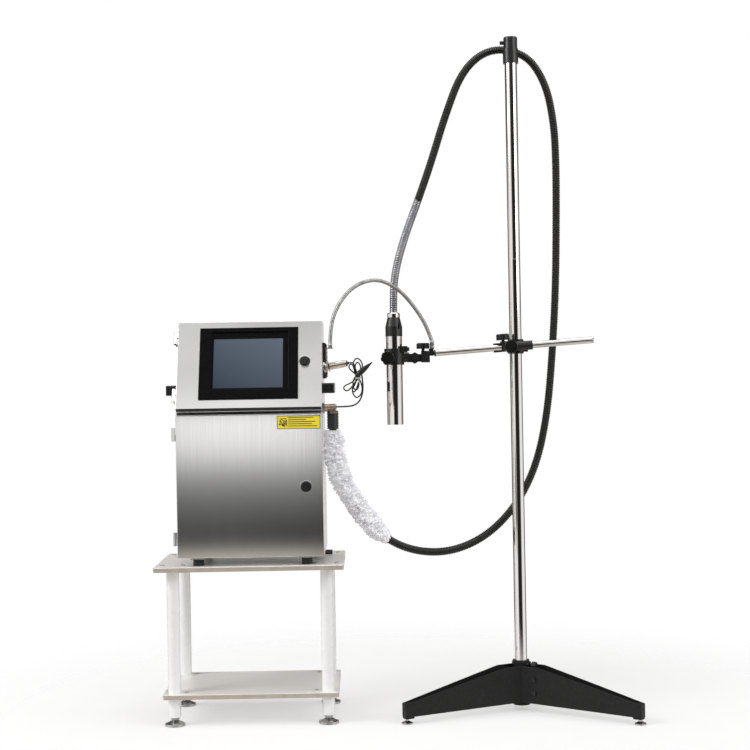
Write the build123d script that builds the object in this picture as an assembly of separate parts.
from build123d import *
import math
import os

# Continuous inkjet date coder: a stainless cabinet on a two-tier table, and a mast on a
# tripod base whose boom holds the print head. Millimetres, +Z up, front towards -Y.
# The origin is on the floor, under the middle of the whole set.

# ---- driving dimensions -------------------------------------------------------------
SET_WIDTH = 1228.0  # left edge of the table top to the right foot of the tripod
LEG_REACH = 336.0  # mast axis to each tripod foot
FOOT_R = 14.5  # tripod foot pads
TRIPOD_YAW = -5.0  # the right front leg stands a little nearer the front
LEG_AZIMUTHS = [TRIPOD_YAW - 30, TRIPOD_YAW - 150, TRIPOD_YAW + 90]

MAST_R, MAST_TOP = 16.0, 1750.0
TABLE_W, TABLE_D, TABLE_H = 480.0, 320.0, 406.0
SHELF_W, SHELF_D, SHELF_TOP = 445.0, 295.0, 83.0
PLATE_T = 12.0
TUBE_R = 16.0  # table legs
LEG_DX, LEG_DY = 195.5, 117.0

CAB_W, CAB_D = 370.0, 290.0
CAB_BASE, CAB_TOP = 426.0, 1026.0  # underside and top of the cabinet
DOOR_SPLIT = 805.0  # bottom edge of the control door
INK_DOOR_Z = (428.0, 787.0)
SLANT = 25.0  # control door leans back, degrees
DOOR_T = 18.0
SHEET = 2.0  # cabinet sheet
DOOR_SHEET = 1.5
DOOR_GAP = 0.5  # between a closed door and the body
HINGE_OUT = 6.5  # hinge axis outside the cabinet's left side
LOCK_X = 327.0  # locks, from the cabinet's left side
LOCK_HEIGHTS = {"ink": 176.0, "control": 126.7}  # along each door from its bottom edge

CLAMP_Z = 951.0  # where the boom crosses the mast
BOOM_R, BOOM_LEFT, BOOM_RIGHT = 8.5, -212.0, 195.0
BOOM_FORWARD = 36.0  # boom axis in front of the mast axis
BOOM_TILT = 3.8  # the boom rises to the right, degrees
RUNNING = 0.05  # radial running clearance of anything that turns or slides
HEAD_X = 5.0
HEAD_R, HEAD_Z = 21.0, (753.0, 982.0)
LINK_PIVOT = (58.0, 925.0)  # x and z of the link's cross bolt
ROLL_Z = 927.0  # height of the toothed joint's axis
CONDUIT_R, FILM_R, CABLE_R = 10.5, 24.0, 2.0
GOOSENECK_R, GOOSENECK_FOOT_Z = 5.0, 948.0

# ---- places that follow from them ---------------------------------------------------
MAST_X = SET_WIDTH / 2 - FOOT_R - LEG_REACH * math.cos(math.radians(LEG_AZIMUTHS[0]))
MAST_Y = -LEG_REACH * sum(math.sin(math.radians(LEG_AZIMUTHS[i])) for i in (0, 2)) / 2
TABLE_X, TABLE_Y = -SET_WIDTH / 2 + TABLE_W / 2, MAST_Y
CAB_X = TABLE_X + 7
CAB_LEFT, CAB_RIGHT = CAB_X - CAB_W / 2, CAB_X + CAB_W / 2
CAB_FRONT = TABLE_Y - TABLE_D / 2 + 9
CAB_BACK = CAB_FRONT + CAB_D
BODY_FRONT = CAB_FRONT + DOOR_T + DOOR_GAP
BOOM_Y = MAST_Y - BOOM_FORWARD
SIN, COS = math.sin(math.radians(SLANT)), math.cos(math.radians(SLANT))
CONTROL_DOOR_H = (CAB_TOP - DOOR_SPLIT) / COS
# door frames: x across from the left side, y into the cabinet, z up the door
INK_FRAME = Plane(origin=(CAB_LEFT, CAB_FRONT, INK_DOOR_Z[0]), x_dir=(1, 0, 0), z_dir=(0, 0, 1))
CONTROL_FRAME = Plane(origin=(CAB_LEFT, CAB_FRONT, DOOR_SPLIT), x_dir=(1, 0, 0), z_dir=(0, SIN, COS))
# the boom's own frame: x along the boom, origin where it crosses the mast
BOOM_FRAME = Location((MAST_X, BOOM_Y, CLAMP_Z), (0, -BOOM_TILT, 0))
LOW = (Align.CENTER, Align.CENTER, Align.MIN)

# Umbilical route: out of the elbow on the cabinet's right side, down, behind the mast,
# up its right side, over the mast head and down into the print head.
CONDUIT_ROUTE = [
    (-157, -126, 745), (-157, -126, 677), (-133, -124, 599), (-88, -119, 523),
    (-26, -108, 456), (55, -90, 419), (150, -64, 415), (243, -40, 452),
    (322, -29, 528), (378, -27, 634), (409, -28, 768), (425, -29, 925),
    (437, -30, 1100), (442, -31, 1290), (444, -30, 1440), (440, -30, 1545),
    (420, -29, 1650), (369, -29, 1728), (274, -29, 1745), (199, -38, 1685),
    (150, -52, 1560), (112, -64, 1440), (72, -78, 1330), (37, -92, 1240),
    (12, -103, 1155), (5, -107, 1090), (5, -107, 1043),
]
# Sensor cable: out of the socket on the cabinet's side and up to the tied hank.
CABLE_ROUTE = [
    (-148, -160, 802.6), (-122, -160, 802.6), (-98, -183, 806),
    (-83, -212, 821), (-76, -236, 851), (-79.5, -240, 879),
]
# Gooseneck of the sensor: up from the swivel block, over, forward and down to the bracket.
GOOSENECK_ROUTE = [
    (103.5, -107, 966), (93, -111, 1002), (60, -124, 1056), (16, -141, 1106),
    (-40, -164, 1130), (-98, -192, 1110), (-139, -216, 1060), (-158, -235, 1002),
    (-158, -235, 952),
]


# ---- helpers ------------------------------------------------------------------------
def block(x0, x1, y0, y1, z0, z1):
    size = (x1 - x0, y1 - y0, z1 - z0)
    return Pos((x0 + x1) / 2, (y0 + y1) / 2, (z0 + z1) / 2) * Box(*size)


def rod(start, end, r):
    a, b = Vector(*start), Vector(*end)
    return Plane(origin=a, z_dir=b - a) * Cylinder(r, (b - a).length, align=LOW)


def cone(start, end, r0, r1):
    a, b = Vector(*start), Vector(*end)
    return Plane(origin=a, z_dir=b - a) * Cone(r0, r1, (b - a).length, align=LOW)


def pipe(start, end, r, bore):
    return rod(start, end, r) - rod(start, end, bore)


def hexagon(start, end, across):
    a, b = Vector(*start), Vector(*end)
    outline = RegularPolygon(across / 2, 6, major_radius=False)
    return extrude(Plane(origin=a, z_dir=b - a) * outline, (b - a).length)


def knob(start, end, r, lobes=7):
    """A clamping knob: a disc with finger scallops round its rim and a domed face."""
    a, b = Vector(*start), Vector(*end)
    high = (b - a).length
    body = Cylinder(r, high, align=LOW)
    body = fillet(body.edges().group_by(Axis.Z)[-1], high * 0.25)
    for i in range(lobes):
        body -= Rot(0, 0, i * 360 / lobes) * Pos(r * 1.13, 0, 0) * Cylinder(r * 0.24, high * 3)
    return Plane(origin=a, z_dir=b - a) * body


def corner_radii(route):
    """Each corner's arc is as large as its two runs allow."""
    radii = []
    points = [Vector(*p) for p in route]
    for before, here, after in zip(points, points[1:], points[2:]):
        turn = math.radians((here - before).get_angle(after - here))
        short = min((here - before).length, (after - here).length)
        radii.append(0.45 * short / math.tan(turn / 2))
    return radii


def tube(route, radii, r, bore=0.0, name=""):
    path = FilletPolyline(*route, radius=radii)
    start = Plane(origin=path @ 0, z_dir=path % 0)
    section = Circle(r) - Circle(bore) if bore else Circle(r)
    solid = sweep(start * section, path=path)
    if name:
        ideal = math.pi * (r**2 - bore**2) * path.length
        print(f"{name}: {path.length:.0f} mm long, tightest corner {min(radii):.0f} mm,",
              f"volume / (section x length) = {solid.volume / ideal:.4f}")
        print("   corner radii:", [round(x) for x in radii])
    return solid


def polar(radius, azimuth, height=0.0):
    turn = math.radians(azimuth)
    return (MAST_X + radius * math.cos(turn), MAST_Y + radius * math.sin(turn), height)


parts = {}


# ---- table --------------------------------------------------------------------------
def leg_places():
    return [(TABLE_X + i * LEG_DX, TABLE_Y + j * LEG_DY) for i in (-1, 1) for j in (-1, 1)]


def table():
    screw_r, screw_head = 2.5, 5.5
    top_z, shelf_z = TABLE_H - PLATE_T, SHELF_TOP - PLATE_T
    screw_spots = [(x + dx, y) for x, y in leg_places() for dx in (-26, 26)]

    def plate(w, d, z, spots):
        body = Pos(TABLE_X, TABLE_Y, z + PLATE_T / 2) * Box(w, d, PLATE_T)
        body = fillet(body.edges().filter_by(Axis.Z), 6)
        body = chamfer(body.faces().sort_by(Axis.Z)[-1].edges(), 0.8)
        for x, y in spots:
            body -= Pos(x, y, z + PLATE_T) * Cylinder(screw_r, 12)
        return body

    parts["table_top"] = plate(TABLE_W, TABLE_D, top_z, screw_spots)
    shelf_spots = [(x - math.copysign(30, x - TABLE_X), y) for x, y in leg_places()]
    parts["table_shelf"] = plate(SHELF_W, SHELF_D, shelf_z, shelf_spots)

    def screw(x, y, z):
        head = Pos(x, y, z) * Cylinder(screw_head, 2.4, align=LOW)
        head = chamfer(head.edges().group_by(Axis.Z)[-1], 1.0)
        head -= Pos(x, y, z + 2.4) * Box(7, 1.2, 1.6)
        return head + Pos(x, y, z - 5.9) * Cylinder(screw_r, 6, align=LOW)

    screws = [screw(x, y, TABLE_H) for x, y in screw_spots]
    screws += [screw(x, y, SHELF_TOP) for x, y in shelf_spots]

    legs, feet = [], []
    foot_top = 22.0  # lower end of the short leg tubes
    for x, y in leg_places():
        for z0, z1 in ((SHELF_TOP, top_z), (foot_top, shelf_z)):
            legs.append(pipe((x, y, z0), (x, y, z1), TUBE_R, TUBE_R - 2))
        pad = Pos(x, y, 0) * Cylinder(25.5, 6, align=LOW)
        pad = chamfer(pad.edges().group_by(Axis.Z)[0], 1.2)
        dome = cone((x, y, 6), (x, y, 14), 23.5, 9)
        stud = rod((x, y, 14), (x, y, foot_top + 20), 5)
        nut = hexagon((x, y, 16), (x, y, foot_top), 19)
        plug = rod((x, y, foot_top), (x, y, foot_top + 12), TUBE_R - 2)
        feet.append(pad + dome + stud + nut + plug)
    parts["table_legs"] = Compound(children=legs)
    # the tripod's three feet are smaller ones of the same kind
    for azimuth in LEG_AZIMUTHS:
        x, y, _ = polar(LEG_REACH, azimuth)
        pad = Pos(x, y, 0) * Cylinder(FOOT_R, 3.5, align=LOW)
        pad = chamfer(pad.edges().group_by(Axis.Z)[0], 1)
        feet.append(pad + cone((x, y, 3.5), (x, y, 8), FOOT_R - 1, 5.5) + rod((x, y, 8), (x, y, LEG_END_Z[0]), 4))
    parts["levelling_feet"] = Compound(children=feet)
    return screws


# ---- cabinet ------------------------------------------------------------------------
def cabinet_profile():
    """The body's side outline, in y and z, behind the doors."""
    slope_low = (CAB_FRONT + (DOOR_T + DOOR_GAP) * COS, DOOR_SPLIT - (DOOR_T + DOOR_GAP) * SIN)
    rise = CAB_TOP - slope_low[1]
    knee_z = slope_low[1] + (BODY_FRONT - slope_low[0]) * COS / SIN
    return [
        (BODY_FRONT, CAB_BASE), (CAB_BACK, CAB_BASE), (CAB_BACK, CAB_TOP),
        (slope_low[0] + rise * SIN / COS, CAB_TOP), (BODY_FRONT, knee_z),
    ]


FAN = (-10.0, 923.0, 42.0)  # y and z of the fan's axis, and the hole's radius


def cabinet_shell():
    face = make_face(Polyline(*cabinet_profile(), close=True))
    side = Plane(origin=(CAB_LEFT, 0, 0), x_dir=(0, 1, 0), z_dir=(1, 0, 0))
    shell = extrude(side * face, CAB_W)
    inner = Plane(origin=(CAB_LEFT + SHEET, 0, 0), x_dir=(0, 1, 0), z_dir=(1, 0, 0))
    shell -= extrude(inner * offset(face, -SHEET, kind=Kind.INTERSECTION), CAB_W - 2 * SHEET)
    lip, deep = 18.0, 10.0
    shell -= INK_FRAME.location * block(
        lip, CAB_W - lip, DOOR_T - 1, DOOR_T + deep, lip, INK_DOOR_Z[1] - INK_DOOR_Z[0] - 8)
    shell -= CONTROL_FRAME.location * block(
        lip, CAB_W - lip, DOOR_T - 1, DOOR_T + deep, 22, CONTROL_DOOR_H - 17)
    back_lip = 15.0
    shell -= block(CAB_LEFT + back_lip, CAB_RIGHT - back_lip, CAB_BACK - deep, CAB_BACK + 1,
                   CAB_BASE + back_lip, CAB_TOP - back_lip)
    shell -= rod((CAB_RIGHT - 9, FAN[0], FAN[1]), (CAB_RIGHT + 1, FAN[0], FAN[1]), FAN[2])
    # bevelled rail between the two doors
    rail = [(CAB_FRONT + 2, 788), (BODY_FRONT, 788), (BODY_FRONT, 794), (CAB_FRONT + 9, 796)]
    rail_face = Plane(origin=(CAB_LEFT, 0, 0), x_dir=(0, 1, 0), z_dir=(1, 0, 0))
    shell += extrude(rail_face * make_face(Polyline(*rail, close=True)), CAB_W)
    # floor of the electronics compartment, welded in
    shell += block(CAB_LEFT + 1, CAB_RIGHT - 1, BODY_FRONT + 1, CAB_BACK - 1, DECK_Z - SHEET, DECK_Z)
    # holes for the conduit elbow, the sensor socket and the vent
    for y, z, r in ((CONDUIT_ROUTE[0][1], ELBOW_Z, 9.0), (CABLE_ROUTE[0][1], CABLE_ROUTE[0][2], 5.0)):
        shell -= rod((CAB_RIGHT - 9, y, z), (CAB_RIGHT + 1, y, z), r)
    return shell


ELBOW_Z = 799.0
DECK_Z = 784.0  # top of the sheet between the ink and electronics compartments


def cabinet():
    parts["cabinet_shell"] = cabinet_shell()

    panel = block(CAB_LEFT + 2, CAB_RIGHT - 2, CAB_BACK, CAB_BACK + SHEET, CAB_BASE + 2, CAB_TOP - 2)
    for row in range(8):
        z = 880 + row * 14
        panel -= block(CAB_X - 70, CAB_X + 70, CAB_BACK - 1, CAB_BACK + SHEET + 1, z, z + 5)
    spots = [(CAB_X + i * 165, z) for i in (-1, 1) for z in (445, 726, 1007)]
    for x, z in spots:
        panel -= rod((x, CAB_BACK - 1, z), (x, CAB_BACK + SHEET + 1, z), 2.5)
    parts["rear_panel"] = panel
    screws = []
    for x, z in spots:
        head = rod((x, CAB_BACK + SHEET, z), (x, CAB_BACK + SHEET + 2.4, z), 5)
        screws.append(head + rod((x, CAB_BACK, z), (x, CAB_BACK + SHEET, z), 2.5))

    # ribbed rubber feet under square plates
    feet = []
    foot_r, plate_half, plate_z = 14.0, 19.0, CAB_BASE - 3
    for x in (CAB_X - 136, CAB_X + 140):
        for y in (CAB_FRONT + 34, CAB_BACK - 35):
            foot = rod((x, y, TABLE_H), (x, y, plate_z), foot_r)
            for z in (TABLE_H + 4, TABLE_H + 9):
                foot -= pipe((x, y, z), (x, y, z + 2.5), foot_r + 1, foot_r - 2)
            plate = block(x - plate_half, x + plate_half, y - plate_half, y + plate_half, plate_z, CAB_BASE)
            feet.append(foot + plate)
    parts["cabinet_feet"] = Compound(children=feet)

    grips = []
    y0, y1, z0, z1, out = -165.0, 5.0, 838.0, 864.0, 30.0
    for side, wall in ((-1, CAB_LEFT), (1, CAB_RIGHT)):
        far = wall + side * out
        grip = block(min(wall, far), max(wall, far), y0, y1, z0, z1)
        grip = fillet(grip.edges().filter_by(Axis.X), 5)
        hole = sorted((wall, wall + side * (out - 11)))
        grip -= block(hole[0], hole[1], y0 + 18, y1 - 18, z0 - 1, z1 + 1)
        grips.append(grip)
    parts["side_handles"] = Compound(children=grips)

    y, z, r = FAN
    cover = block(CAB_RIGHT, CAB_RIGHT + 10, y - 50, y + 50, z - 47, z + 47)
    cover = chamfer(cover.faces().sort_by(Axis.X)[-1].edges(), 4)
    cover -= block(CAB_RIGHT - 1, CAB_RIGHT + 6, y - 45, y + 45, z - 42, z + 42)
    for row in range(7):
        low = z - 37 + row * 11
        cover -= block(CAB_RIGHT + 5, CAB_RIGHT + 11, y - 40, y + 40, low, low + 6)
    parts["fan_cover"] = cover

    inside = CAB_RIGHT - SHEET
    frame = block(inside - 25, inside, y - 46, y + 46, z - 46, z + 46)
    frame -= rod((inside - 26, y, z), (inside + 1, y, z), r)
    hub = rod((inside - 25, y, z), (inside - 20, y, z), 17)
    for turn in (45, 135, 225, 315):
        arm = Pos(inside - 22.5, y, z) * Rot(turn, 0, 0) * Pos(0, r / 2 + 6, 0) * Box(5, r, 6)
        hub += arm
    frame += hub - rod((inside - 26, y, z), (inside, y, z), 2.0)
    frame -= block(inside - 26, inside + 1, y + 46, y + 90, z - 90, z + 90)
    parts["fan_frame"] = frame + rod((inside - 25, y, z), (inside - 4, y, z), 2.0)
    rotor = rod((inside - 19.5, y, z), (inside - 3, y, z), 16) - rod((inside - 20, y, z), (inside, y, z), 2.0 + RUNNING)
    for i in range(7):
        blade = Pos(inside - 11.5, y, z) * Rot(i * 360 / 7, 0, 0) * Pos(0, 27.5, 0) * Rot(0, 38, 0) * Box(2, 26, 17)
        rotor += blade
    rotor &= rod((inside - 19.5, y, z), (inside - 3, y, z), 40.5)
    parts["fan_rotor"] = rotor
    return screws


def fluids_and_electronics():
    floor = CAB_BASE + SHEET
    tanks = {"ink_tank": CAB_X - 105, "solvent_tank": CAB_X + 5}
    tank_w, tank_d, tank_h = 96.0, 120.0, 150.0
    y0 = CAB_FRONT + 55
    bottles = []
    for name, x in tanks.items():
        body = block(x - tank_w / 2, x + tank_w / 2, y0, y0 + tank_d, floor, floor + tank_h)
        body = fillet(body.edges().filter_by(Axis.Z), 10)
        neck = rod((x, y0 + 60, floor + tank_h), (x, y0 + 60, floor + tank_h + 14), 19)
        spout = rod((x, y0 + tank_d - 16, floor + tank_h), (x, y0 + tank_d - 16, floor + tank_h + 22), 5)
        parts[name] = body + neck + spout
        base = floor + tank_h + 14
        bottle = cone((x, y0 + 60, base), (x, y0 + 60, base + 18), 19, 34)
        bottle += rod((x, y0 + 60, base + 18), (x, y0 + 60, base + 130), 34)
        bottles.append(fillet(bottle.edges().group_by(Axis.Z)[-1], 6))
    parts["fluid_bottles"] = Compound(children=bottles)

    x, y, z = CAB_X + 115, y0 + 60, floor
    pump = block(x - 34, x + 34, y - 40, y + 40, z, z + 60)
    pump += rod((x, y, z + 60), (x, y, z + 150), 27)
    pump += rod((x, y, z + 150), (x, y, z + 162), 12)
    for i in (-1, 1):
        pump += rod((x + i * 18, y - 40, z + 30), (x + i * 18, y - 58, z + 30), 6)
    filter_body = rod((x, y + 75, z + 30), (x, y + 75, z + 150), 24)
    filter_body += hexagon((x, y + 75, z), (x, y + 75, z + 30), 40)
    parts["ink_pump_and_filter"] = Compound(children=[pump, filter_body])

    deck = DECK_Z
    supply = block(CAB_X - 165, CAB_X - 15, -70, 50, deck, deck + 68)
    for i in range(9):
        supply -= block(CAB_X - 155 + i * 15, CAB_X - 147 + i * 15, -60, 40, deck + 66, deck + 70)
    parts["power_supply"] = supply

    board_y = CAB_BACK - 16
    board = block(CAB_X - 150, CAB_X + 100, board_y, board_y + 1.6, 875, 1000)
    for x in (CAB_X - 140, CAB_X + 90):
        for z in (882, 993):
            board += rod((x, board_y + 1.6, z), (x, CAB_BACK, z), 3)
    chips = ((-120, 905, 60, 30, 9), (-40, 900, 36, 36, 4), (30, 915, 50, 20, 12),
             (-110, 960, 30, 16, 6), (-50, 960, 44, 22, 8), (20, 965, 60, 18, 14))
    for cx, cz, w, h, t in chips:
        board += block(CAB_X + cx, CAB_X + cx + w, board_y - t, board_y, cz, cz + h)
    parts["main_board"] = board


# ---- doors --------------------------------------------------------------------------
def door_pan(high):
    pan = block(0, CAB_W, 0, DOOR_T, 0, high)
    pan = fillet(pan.faces().sort_by(Axis.Y)[0].edges(), 1.2)
    return pan - block(DOOR_SHEET, CAB_W - DOOR_SHEET, DOOR_SHEET, DOOR_T + 1,
                       DOOR_SHEET, high - DOOR_SHEET)


KNUCKLE_R, PIN_R, HALF = 5.0, 2.5, 17.0  # hinge barrel, pin, half its length
HINGE_Y = DOOR_T / 2


def fixed_hinge(z):
    """Lower half of a lift-off hinge: leaf on the cabinet's side, barrel and pin."""
    half = pipe((-HINGE_OUT, HINGE_Y, z - HALF), (-HINGE_OUT, HINGE_Y, z - 0.2), KNUCKLE_R, PIN_R)
    leaf = block(-3, 0, DOOR_T + DOOR_GAP, DOOR_T + 34, z - HALF, z - 0.2)
    web = block(-HINGE_OUT, -3, HINGE_Y + 2, DOOR_T + 6, z - HALF, z - 0.2)
    web += block(-3.2, -0.6, HINGE_Y + 2, DOOR_T + 6, z - HALF, z - 0.2)
    pin = rod((-HINGE_OUT, HINGE_Y, z - HALF), (-HINGE_OUT, HINGE_Y, z + HALF - 3), PIN_R)
    return (half + (web - rod((-HINGE_OUT, HINGE_Y, z - HALF), (-HINGE_OUT, HINGE_Y, z), KNUCKLE_R - 0.5))
            + leaf + pin)


def door_hinge(z):
    """Upper half, fixed to the door's left edge."""
    barrel = rod((-HINGE_OUT, HINGE_Y, z + 0.2), (-HINGE_OUT, HINGE_Y, z + HALF), KNUCKLE_R)
    leaf = block(-HINGE_OUT, 0, HINGE_Y - 2, HINGE_Y + 2, z + 0.2, z + HALF)
    leaf += block(-1.6, 0, 2, DOOR_T - 2, z + 0.2, z + HALF)
    bore = rod((-HINGE_OUT, HINGE_Y, z), (-HINGE_OUT, HINGE_Y, z + HALF - 2.5), PIN_R + RUNNING)
    return barrel + leaf - bore


def lock(frame, z):
    """Quarter-turn lock: a proud black knob with a grip bar, its plug and its cam."""
    body = rod((LOCK_X, -5, z), (LOCK_X, -0.2, z), 13.4)
    body = chamfer(body.edges().group_by(Axis.Y)[0], 1.2)
    body += block(LOCK_X - 3, LOCK_X + 3, -9, -5, z - 10.5, z + 10.5)
    body += rod((LOCK_X, -0.2, z), (LOCK_X, 26, z), 10)
    cam = block(LOCK_X - 7, LOCK_X + 7, 23, 26, z - 8, z + 33)
    return frame.location * (body + cam)


def lock_ring(frame, z):
    return frame.location * pipe((LOCK_X, -2.6, z), (LOCK_X, 0, z), 16, 13.9)


def doors():
    heights = {"ink": INK_DOOR_Z[1] - INK_DOOR_Z[0], "control": CONTROL_DOOR_H}
    frames = {"ink": INK_FRAME, "control": CONTROL_FRAME}
    hinge_spots = {"ink": (48.0, 312.0), "control": (41.0, 203.0)}
    fixed = []
    for name, frame in frames.items():
        z = LOCK_HEIGHTS[name]
        pan = door_pan(heights[name])
        pan -= rod((LOCK_X, -1, z), (LOCK_X, DOOR_T, z), 10 + RUNNING)
        if name == "control":
            pan -= block(63, 304, -1, 2, 30, 219)
        parts[f"{name}_door"] = frame.location * pan
        parts[f"{name}_lock"] = lock(frame, z)
        parts[f"{name}_lock_ring"] = lock_ring(frame, z)
        leaves = [frame.location * door_hinge(h) for h in hinge_spots[name]]
        parts[f"{name}_door_hinges"] = Compound(children=leaves)
        fixed += [frame.location * fixed_hinge(h) for h in hinge_spots[name]]
    parts["fixed_hinges"] = Compound(children=fixed)

    bezel = block(57, 310, -6, 0, 24.4, 224.8)
    bezel = fillet(bezel.faces().sort_by(Axis.Y)[0].edges(), 2)
    bezel += block(63, 304, 0, 12, 30, 219)
    bezel -= block(88, 285, -7, -2, 51, 212)
    bezel -= block(93, 271, -8, 13, 55, 194)
    parts["screen_bezel"] = CONTROL_FRAME.location * bezel
    parts["display_panel"] = CONTROL_FRAME.location * block(93, 271, -1, 8, 55, 194)


# ---- connectors ---------------------------------------------------------------------
def connectors():
    """Conduit elbow with its boot, sensor socket and vent on the right side; mains inlet behind."""
    x, y = CONDUIT_ROUTE[0][0], CONDUIT_ROUTE[0][1]
    boot_low, boot_high = CONDUIT_ROUTE[0][2], 785.0
    wall = CAB_RIGHT
    casting = block(x - 12, x + 10, y - 10, y + 10, boot_high + 5, ELBOW_Z + 11)
    elbow = fillet(casting.edges(), 4)
    elbow += hexagon((x, y, boot_high), (x, y, boot_high + 7), 25)
    elbow += rod((wall - SHEET, y, ELBOW_Z), (x, y, ELBOW_Z), 9)
    elbow += rod((wall, y, ELBOW_Z), (wall + 4, y, ELBOW_Z), 13)
    boot = rod((x, y, boot_low), (x, y, boot_high), 15)
    for i in range(5):
        z = boot_low + 3 + i * 7.5
        boot -= pipe((x, y, z), (x, y, z + 3), 16, 13.6)
    y, z = CABLE_ROUTE[0][1], CABLE_ROUTE[0][2]
    end = CABLE_ROUTE[0][0]
    socket = hexagon((wall, y, z), (wall + 5, y, z), 18)
    socket += rod((wall - SHEET, y, z), (wall, y, z), 5)
    socket += rod((wall + 5, y, z), (end - 10, y, z), 7.5)
    socket += cone((end - 10, y, z), (end, y, z), 6, 3.2)
    vent_x, vent_y, vent_z, vent_r = CAB_RIGHT - 30, -30, 416, 6.5
    vent = rod((vent_x, vent_y, vent_z), (vent_x, vent_y, CAB_BASE), vent_r)
    vent += Pos(vent_x, vent_y, vent_z) * Sphere(vent_r)
    vent += rod((vent_x, vent_y, vent_z), (CAB_RIGHT + 16, vent_y, vent_z), vent_r)
    back, inlet_x, inlet_z = CAB_BACK + SHEET, CAB_X + 105, 480
    inlet = block(inlet_x - 24, inlet_x + 24, back, back + 9, inlet_z - 15, inlet_z + 15)
    inlet = chamfer(inlet.faces().sort_by(Axis.Y)[-1].edges(), 1.5)
    inlet -= block(inlet_x - 13, inlet_x + 13, back + 1, back + 10, inlet_z - 9, inlet_z + 9)
    for pin_x in (-7, 0, 7):
        inlet += block(inlet_x + pin_x - 1, inlet_x + pin_x + 1, back, back + 7, inlet_z - 2, inlet_z + 2)
    parts["connectors"] = Compound(children=[elbow, boot, socket, vent, inlet])


# ---- stand --------------------------------------------------------------------------
SHEET_T, BEND_AT, TIP_HALF, TIP_AT = 2.5, 28.0, 9.0, 344.0
LEG_END_Z = (13.0, 52.0)  # bottom and top of the blocks at the legs' ends
HUB_R, HUB_TOP = 22.0, 130.0
MAST_JOINT_Z = 1179.0  # where the two lengths of the mast meet


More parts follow.
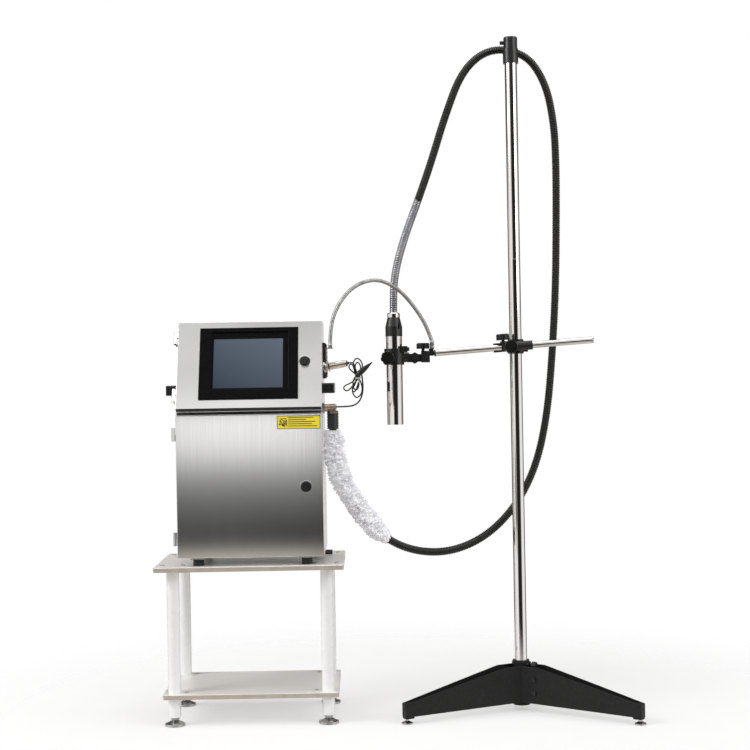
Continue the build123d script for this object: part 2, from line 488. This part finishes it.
def stand():
    def flat(radius, azimuth, shift=0.0):
        turn = math.radians(azimuth)
        return Vector(MAST_X + radius * math.cos(turn) - shift * math.sin(turn),
                      MAST_Y + radius * math.sin(turn) + shift * math.cos(turn), 0)

    # height of the sheets falls from the mast to the feet
    falling = [(0, 24), (TIP_AT + 40, 17), (TIP_AT + 40, 42), (62, 118), (0, 118)]
    side = Plane(origin=(MAST_X, MAST_Y, 0), x_dir=(1, 0, 0), z_dir=(0, -1, 0))
    envelope = revolve(side * make_face(Polyline(*falling, close=True)),
                       Axis((MAST_X, MAST_Y, 0), (0, 0, 1)))
    inner_bend = BEND_AT - SHEET_T / math.sin(math.radians(62))
    bolt_at, bolt_r = 50.0, 3.0
    outside, inside, head = 23.1, 19.9, 4.5  # from the leg's middle plane
    sheets, bolts = [], []
    holes = []
    for azimuth in LEG_AZIMUTHS:
        turn = math.radians(azimuth)
        across = Vector(math.sin(turn), -math.cos(turn), 0)
        for z in (51, 86):
            middle = Vector(*polar(bolt_at, azimuth, z))

            def off(distance):
                return tuple(middle + across * distance)

            holes.append(rod(off(inside - 3), off(outside + 3), bolt_r))
            bolt = rod(off(inside - head), off(outside), bolt_r)
            bolt += hexagon(off(inside - head), off(inside), 10)
            dome = rod(off(outside), off(outside + head), 5.2)
            bolts.append(bolt + dome - hexagon(off(outside + 2), off(outside + head + 1), 5))
    for azimuth in LEG_AZIMUTHS:
        after = azimuth - 120
        outline = [
            flat(TIP_AT, azimuth, -TIP_HALF - SHEET_T), flat(BEND_AT, azimuth - 60),
            flat(TIP_AT, after, TIP_HALF + SHEET_T), flat(TIP_AT, after, TIP_HALF),
            flat(inner_bend, azimuth - 60), flat(TIP_AT, azimuth, -TIP_HALF),
        ]
        wall = extrude(make_face(Polyline(*outline, close=True)), 140)
        wall &= envelope
        for hole in holes:
            wall -= hole
        sheets.append(wall)
    parts["tripod_sheets"] = Compound(children=sheets)

    ends = []
    for azimuth in LEG_AZIMUTHS:
        near = TIP_AT - 24
        outline = [flat(near, azimuth, -TIP_HALF - 0.5), flat(TIP_AT, azimuth, -TIP_HALF),
                   flat(TIP_AT, azimuth, TIP_HALF), flat(near, azimuth, TIP_HALF + 0.5)]
        low, high = LEG_END_Z
        ends.append(Pos(0, 0, low) * extrude(make_face(Polyline(*outline, close=True)), high - low))
    parts["tripod_leg_ends"] = Compound(children=ends)

    # the hub's clamping screw points along the right leg
    way, z, stem_r = LEG_AZIMUTHS[0], 120.0, 4.0
    inner, outer = polar(MAST_R + 0.2, way, z), polar(34, way, z)
    hub = rod((MAST_X, MAST_Y, 14), (MAST_X, MAST_Y, HUB_TOP), HUB_R)
    hub += rod(polar(MAST_R + 3, way, z), polar(HUB_R + 4, way, z), 8)
    hub -= rod((MAST_X, MAST_Y, 18), (MAST_X, MAST_Y, HUB_TOP), MAST_R)
    parts["tripod_hub"] = hub - rod(inner, outer, stem_r + RUNNING)
    parts["mast_lock_knob"] = rod(inner, outer, stem_r) + knob(outer, polar(46, way, z), 8, lobes=6)

    mast = pipe((MAST_X, MAST_Y, 18), (MAST_X, MAST_Y, MAST_TOP), MAST_R, MAST_R - 2)
    seam = pipe((MAST_X, MAST_Y, MAST_JOINT_Z), (MAST_X, MAST_Y, MAST_JOINT_Z + 1.5), MAST_R + 1, MAST_R - 0.5)
    parts["mast"] = mast - seam

    # mast head: sleeve, cap and the clip that holds the conduit
    base, top = 1693.0, 1762.0
    sleeve = pipe((MAST_X, MAST_Y, base), (MAST_X, MAST_Y, base + 38), MAST_R + 4, MAST_R)
    sleeve += pipe((MAST_X, MAST_Y, base + 36), (MAST_X, MAST_Y, MAST_TOP), MAST_R + 2, MAST_R)
    sleeve += rod((MAST_X, MAST_Y, MAST_TOP), (MAST_X, MAST_Y, top), MAST_R + 2)
    sleeve = chamfer(sleeve.edges().group_by(Axis.Z)[-1], 2)
    middle = [(a + b) / 2 for a, b in zip(CONDUIT_ROUTE[17], CONDUIT_ROUTE[18])]
    ring_y, ring_z, ring_half = middle[1], middle[2], 7.0
    slope = Vector(*CONDUIT_ROUTE[18]) - Vector(*CONDUIT_ROUTE[17])
    along = slope.normalized() * ring_half
    centre = Vector(MAST_X, ring_y, ring_z + (middle[0] - MAST_X) * slope.Z / -slope.X)
    lug = block(MAST_X - 8, MAST_X + 8, MAST_Y + MAST_R + 1, ring_y - 5, ring_z - 12, ring_z + 8)
    lug -= rod((MAST_X, MAST_Y, base), (MAST_X, MAST_Y, MAST_TOP + 5), MAST_R)
    ring = rod(tuple(centre - along), tuple(centre + along), 15.5)
    bore = rod(tuple(centre - along * 3), tuple(centre + along * 3), 12)
    stub = rod((MAST_X - 17, MAST_Y - 4, ring_z + 10), (MAST_X - 28, MAST_Y - 4, ring_z + 10), 5)
    parts["mast_head_clip"] = sleeve + stub + ((lug + ring) - bore)
    return bolts


# ---- boom and its clamps ------------------------------------------------------------
def cross_clamp():
    x, y, z = MAST_X, MAST_Y, CLAMP_Z
    low, high, flange = z - 19, z + 19, 2.5
    sleeve_r, flange_r, clamp_r = 18.0, 20.5, 21.5
    bushing = rod((x, y, low), (x, y, high), sleeve_r)
    for a, b in ((low, low + flange), (high - flange, high)):
        bushing += rod((x, y, a), (x, y, b), flange_r)
    bushing -= rod((x, y, low), (x, y, high), MAST_R + RUNNING)
    bushing -= block(x + 10, x + 30, y - 0.8, y + 0.8, low - 1, high + 1)
    parts["mast_bushing"] = bushing

    gap = 0.3
    face_y = BOOM_Y + 13.8  # where the clamp meets the boom collar
    clamp = rod((x, y, low + flange + gap), (x, y, high - flange - gap), clamp_r)
    clamp += rod((x, y, z), (x, face_y, z), 16)
    clamp += block(x + 8, x + 32, y - 8, y + 12, z - 14, z + 14)
    clamp -= rod((x, y, low), (x, y, high), sleeve_r + RUNNING)
    clamp -= block(x + 15, x + 40, y + 1, y + 3.5, z - 40, z + 40)
    clamp += rod((x, face_y, z), (x, face_y - 3.2, z), 5)
    parts["mast_clamp"] = clamp

    # in the boom's frame from here on
    left, right, outer = -61.0, 40.0, 12.0
    front_x, top_x = -19.0, -35.0  # the two clamping screws
    collar = rod((left, 0, 0), (right, 0, 0), outer)
    collar += rod((0, 5, 0), (0, 13.5, 0), 16)
    collar += block(front_x - 12, front_x + 12, -15, -8, -11, 11)
    collar += rod((top_x, 0, 8), (top_x, 0, 16), 8)
    collar -= rod((left - 1, 0, 0), (right + 1, 0, 0), BOOM_R + RUNNING)
    collar -= block(left - 1, left + 20, -20, -4, -20, 20)
    collar -= rod((0, BOOM_R + 1, 0), (0, 20, 0), 5 + RUNNING)
    collar -= rod((front_x, -5, 0), (front_x, -30, 0), 4 + RUNNING)
    collar -= rod((top_x, 0, 5), (top_x, 0, 30), 4 + RUNNING)
    parts["boom_collar"] = BOOM_FRAME * collar
    stem = rod((front_x, -BOOM_R - 0.4, 0), (front_x, -26, 0), 4)
    parts["front_clamp_knob"] = BOOM_FRAME * (stem + knob((front_x, -26, 0), (front_x, -41, 0), 18))
    stem = rod((top_x, 0, BOOM_R + 0.4), (top_x, 0, 19), 4)
    parts["top_clamp_knob"] = BOOM_FRAME * (stem + knob((top_x, 0, 19), (top_x, 0, 35), 17))


ROD_R = 5.0


def boom_and_swivel():
    bar = pipe((BOOM_LEFT, 0, 0), (BOOM_RIGHT, 0, 0), BOOM_R, BOOM_R - 2)
    parts["boom"] = BOOM_FRAME * bar
    plug = pipe((BOOM_LEFT - 4, 0, 0), (BOOM_LEFT, 0, 0), BOOM_R, ROD_R)
    plug += pipe((BOOM_LEFT, 0, 0), (BOOM_LEFT + 20, 0, 0), BOOM_R - 2, ROD_R)
    cap = rod((BOOM_RIGHT, 0, 0), (BOOM_RIGHT + 4, 0, 0), BOOM_R)
    cap = chamfer(cap.edges().group_by(Axis.X)[-1], 1.5)
    cap += rod((BOOM_RIGHT - 15, 0, 0), (BOOM_RIGHT, 0, 0), BOOM_R - 2)
    parts["boom_end_caps"] = Compound(children=[BOOM_FRAME * plug, BOOM_FRAME * cap])

    px, pz = LINK_PIVOT
    y = BOOM_Y
    body = block(75, 97, y - 13, y + 13, 913, 943)
    body = chamfer(body.edges().filter_by(Axis.X), 3)
    body += block(px, 78, y - 5, y + 5, pz - 10, pz + 10)
    body += rod((px, y - 5, pz), (px, y + 5, pz), 12)
    body -= rod((px, y - 6, pz), (px, y + 6, pz), 4 + RUNNING)
    body += BOOM_FRAME * rod((BOOM_LEFT - 18, 0, 0), (BOOM_LEFT + 16, 0, 0), ROD_R)
    body += block(95, GOOSENECK_ROUTE[0][0] + 3.5, y - 6.5, y + 6.5, 930, GOOSENECK_FOOT_Z)
    knob_x = 80.0
    body -= rod((knob_x, y, 925), (knob_x, y, 950), 4 + RUNNING)
    parts["swivel_block"] = body
    knob_z = GOOSENECK_FOOT_Z + 0.5
    stem = rod((knob_x, y, 925.5), (knob_x, y, knob_z), 4)
    parts["swivel_knob"] = stem + knob((knob_x, y, knob_z), (knob_x, y, knob_z + 15), 17)

    web_x = 36.3
    link = rod((web_x, y, ROLL_Z), (43.5, y, ROLL_Z), 13)
    for y0, y1 in ((y - 14, y - 5.3), (y + 5.3, y + 14)):
        cheek = hexagon((px, y0, pz), (px, y1, pz), 26)
        cheek += block(40, px, y0, y1, pz - 11, pz + 11)
        link += cheek
    link -= block(43.6, 80, y - 5.3, y + 5.3, 900, 950)
    for i in range(8):
        link -= Pos(web_x, y, ROLL_Z) * Rot(i * 45, 0, 0) * Pos(0, 0, 12) * Box(2.4, 2.4, 6)
    link -= rod((px, y - 20, pz), (px, y + 20, pz), 4)
    bolt = rod((px, y - 14, pz), (px, y + 14, pz), 4)
    bolt += rod((px, y - 14, pz), (px, y - 19, pz), 7)
    bolt -= hexagon((px, y - 20, pz), (px, y - 16, pz), 5)
    bolt += hexagon((px, y + 14, pz), (px, y + 19, pz), 13)
    parts["swivel_link"] = Compound(children=[link, bolt])


def head_and_clamp():
    x, y = HEAD_X, BOOM_Y
    low, high, outer = 908.0, 950.0, 26.0
    collar = rod((x, y, low), (x, y, high), outer)
    collar += rod((x + 20, y, ROLL_Z), (36, y, ROLL_Z), 13)
    collar += block(-24, 0, y - 29, y, 914, 937)
    collar += block(x + 16, x + 34, y - 24, y - 12, 940, 956)
    collar -= rod((x, y, low - 1), (x, y, high + 20), HEAD_R + RUNNING)
    for i in range(8):
        collar -= Pos(36, y, ROLL_Z) * Rot(i * 45, 0, 0) * Pos(0, 0, 12) * Box(2.4, 2.4, 6)
    knob_x, knob_z = -13.0, 925.5
    collar -= rod((knob_x, y, knob_z), (knob_x, y - 40, knob_z), 4 + RUNNING)
    collar += rod((x + 34, y - 18, 948), (x + 39, y - 18, 948), 5)
    parts["head_collar"] = collar
    # the stem ends where the head's tube begins
    tip = y - math.sqrt(HEAD_R**2 - (x - knob_x - 4) ** 2) - 0.8
    stem = rod((knob_x, tip, knob_z), (knob_x, y - 42, knob_z), 4)
    parts["head_knob"] = stem + knob((knob_x, y - 42, knob_z), (knob_x, y - 57, knob_z), 18)

    z0, z1 = HEAD_Z
    shell = pipe((x, y, z0), (x, y, z1), HEAD_R, HEAD_R - 2)
    nose = rod((x, y, z0), (x, y, z0 + 3), HEAD_R - 2)
    nose -= block(x - 1.5, x + 1.5, y - 9, y + 9, z0 - 1, z0 + 4)
    core = rod((x, y, z0 + 3), (x, y, z0 + 40), 12)
    core += rod((x, y, z0 + 40), (x, y, z0 + 150), 7)
    parts["nozzle_assembly"] = Compound(children=[nose, core])
    cap = rod((x, y, z1), (x, y, z1 + 24), HEAD_R + 1)
    cap += cone((x, y, z1 + 24), (x, y, z1 + 49), HEAD_R + 1, 16)
    cap -= Pos(x + 12, y - 18, z1 + 30) * Rot(0, 0, 32) * Box(5, 8, 24)
    parts["head_cap"] = cap
    ferrule = rod((x, y, z1 + 49), (x, y, CONDUIT_ROUTE[-1][2]), 16.5)
    ferrule = chamfer(ferrule.edges().group_by(Axis.Z)[-1], 2)
    parts["head_tube"] = Compound(children=[shell, ferrule])


# ---- sensor -------------------------------------------------------------------------
def sensor():
    arm = tube(GOOSENECK_ROUTE, corner_radii(GOOSENECK_ROUTE), GOOSENECK_R, name="gooseneck")
    x, y, z = GOOSENECK_ROUTE[0]
    ferrule = rod((x, y, GOOSENECK_FOOT_Z), (x, y, z + 4), GOOSENECK_R + 0.6)
    parts["gooseneck"] = arm + ferrule

    # bracket: a thin bent strap under the gooseneck's end, clamped between the two nuts
    x, y, z = GOOSENECK_ROUTE[-1]
    rise = 9.6  # the barrel points up to the right, degrees
    start = Vector(-176, y, 903)
    along = Vector(math.cos(math.radians(rise)), 0, math.sin(math.radians(rise)))

    def at(t):
        return tuple(start + along * t)

    strap = block(x - 11, x + 7, y - 9, y + 9, z - SHEET, z)
    strap += block(x - 11, x - 9, y - 9, y + 9, z - 34, z)
    strap += block(x - 11, x - 9, y - 12, y + 12, z - 60, z - 34)
    parts["sensor_bracket"] = strap - rod(at(-10), at(60), 9 + RUNNING)
    barrel = rod(at(0), at(56), 9)
    for i in range(9):
        barrel -= pipe(at(5 + i * 3.4), at(6.2 + i * 3.4), 9.5, 8.4)
    barrel += rod(at(56), at(61), 7.5) + cone(at(61), at(66), 4.5, 2.6)
    nuts = [hexagon(at(a), at(a + 3.8), 23) - rod(at(a - 1), at(a + 5), 9) for a in (1.0, 12.0)]
    parts["photo_sensor"] = Compound(children=[barrel, *nuts])
    return at(66), at(80)


PLUG_START, PLUG_WAY = (-94.5, -256, 880), (0.77, 0, 0.64)


def cords(tail_start, tail_end):
    radii = corner_radii(CONDUIT_ROUTE)
    whole = tube(CONDUIT_ROUTE, radii, CONDUIT_R, name="conduit")
    drop_side = block(-100, MAST_X, -200, 50, 1000, 1900)
    parts["conduit_drop"] = whole & drop_side
    parts["conduit_loop"] = whole - drop_side

    def along(i, share):
        """A place on the run that starts at a point of the conduit's route."""
        here, after = Vector(*CONDUIT_ROUTE[i]), Vector(*CONDUIT_ROUTE[i + 1])
        return tuple(here + (after - here) * share)

    route = [along(0, 0.05), *CONDUIT_ROUTE[1:5], along(4, 0.5)]
    film = tube(route, radii[:4], FILM_R, CONDUIT_R + 0.3, name="film")
    cut, way = Vector(*along(3, 0.9)), (Vector(*CONDUIT_ROUTE[5]) - Vector(*CONDUIT_ROUTE[3])).normalized()
    parts["film_wrap"] = film - rod(tuple(cut), tuple(cut + way * 150), FILM_R * 2.5)
    parts["sensor_cable"] = tube(CABLE_ROUTE, corner_radii(CABLE_ROUTE), CABLE_R, name="sensor cable")

    # hank of spare sensor cable: loops above and below the tie that gathers them
    tie = CABLE_ROUTE[-1]
    # each section: height, half width, half depth, middle
    sections = [(827, 7, 6, -95), (840, 14, 9, -99), (855, 19, 10, -104), (872, 8, 6, -91),
                (885, 8, 6, -91), (903, 15, 9, -94), (914, 12, 8, -92), (925, 7, 6, -91)]
    faces = [Pos(cx, tie[1], z) * Ellipse(rx, ry) for z, rx, ry, cx in sections]
    hank = loft(faces, ruled=True)
    parts["sensor_hank"] = hank + rod(tail_start, tail_end, CABLE_R)
    # plug on the hank: a moulded body that narrows to its nose
    profile = [(0, 0), (5.5, 0), (6.7, 4), (6.4, 28), (4.5, 42), (1.8, 53), (0, 53)]
    plug = revolve(Plane.XZ * make_face(Polyline(*profile, close=True)), Axis.Z)
    parts["inline_connector"] = Plane(origin=PLUG_START, z_dir=PLUG_WAY) * plug


def main():
    os.makedirs("parts", exist_ok=True)
    screws = table()
    screws += cabinet()
    fluids_and_electronics()
    doors()
    connectors()
    bolts = stand()
    cross_clamp()
    boom_and_swivel()
    head_and_clamp()
    cords(*sensor())
    parts["fasteners"] = Compound(children=screws + bolts)
    for name, shape in parts.items():
        export_step(shape, f"parts/{name}.step")
    print(len(parts), "nodes")


main()
